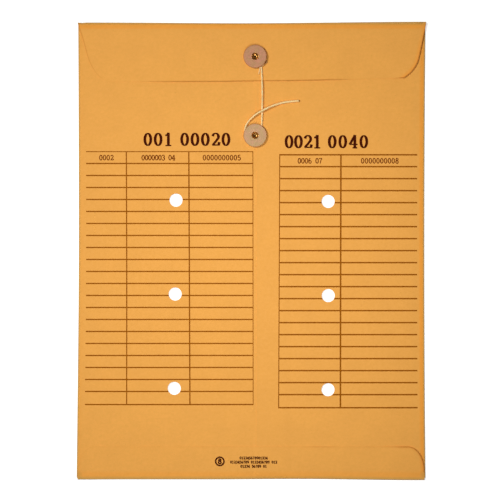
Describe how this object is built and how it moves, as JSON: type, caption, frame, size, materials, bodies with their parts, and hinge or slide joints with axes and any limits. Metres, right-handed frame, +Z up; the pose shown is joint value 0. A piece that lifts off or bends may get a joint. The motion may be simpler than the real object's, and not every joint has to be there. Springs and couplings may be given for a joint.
{
  "type": "envelope",
  "caption": "Reusable kraft paper envelope with viewing holes, a ruled back and a string-and-button closure on a top flap.",
  "frame": {"origin": "under the middle of the envelope, on the surface that its front panel lies on", "axes": "+X to the right along the width as seen from the button side, +Y along the height toward the top flap, +Z up out of the button side"},
  "size_m": [0.253, 0.332, 0.0051],
  "materials": {
    "kraft_paper": "matte",
    "dry_gum": "satin",
    "button_fibre": "matte",
    "backing_board": "matte",
    "eyelet_brass": "satin",
    "cotton_string": "matte"
  },
  "bodies": {
    "root": {"front_panel": "kraft_paper", "left_fold": "kraft_paper", "right_fold": "kraft_paper", "back_panel_left": "kraft_paper", "back_panel_right": "kraft_paper", "centre_seam_gum": "dry_gum", "bottom_fold": "kraft_paper", "bottom_flap": "kraft_paper", "bottom_flap_gum": "dry_gum", "top_fold": "kraft_paper", "lower_eyelet": "eyelet_brass", "lower_backing_washer": "backing_board"},
    "flap": {"top_flap": "kraft_paper", "upper_eyelet": "eyelet_brass", "upper_backing_washer": "backing_board", "string_tie": "cotton_string", "string_knot": "cotton_string", "string_run": "cotton_string", "string_turn": "cotton_string", "string_tail": "cotton_string"},
    "upper_disc": {"upper_button": "button_fibre"},
    "lower_disc": {"lower_button": "button_fibre"}
  },
  "joints": [
    {"name": "flap_hinge", "type": "hinge", "parent": "root", "child": "flap", "pos_m": [0, 0.16475, 0.00125], "axis": [-1, 0, 0], "range_deg": [0, 180], "deforming": ["top_fold", "string_run", "string_turn", "string_tail"]},
    {"name": "upper_button_spin", "type": "hinge", "parent": "flap", "child": "upper_disc", "pos_m": [0.00255, 0.1408, 0.0045], "axis": [0, 0, 1], "continuous": true},
    {"name": "lower_button_spin", "type": "hinge", "parent": "root", "child": "lower_disc", "pos_m": [0.00255, 0.08365, 0.0035], "axis": [0, 0, 1], "continuous": true}
  ]
}
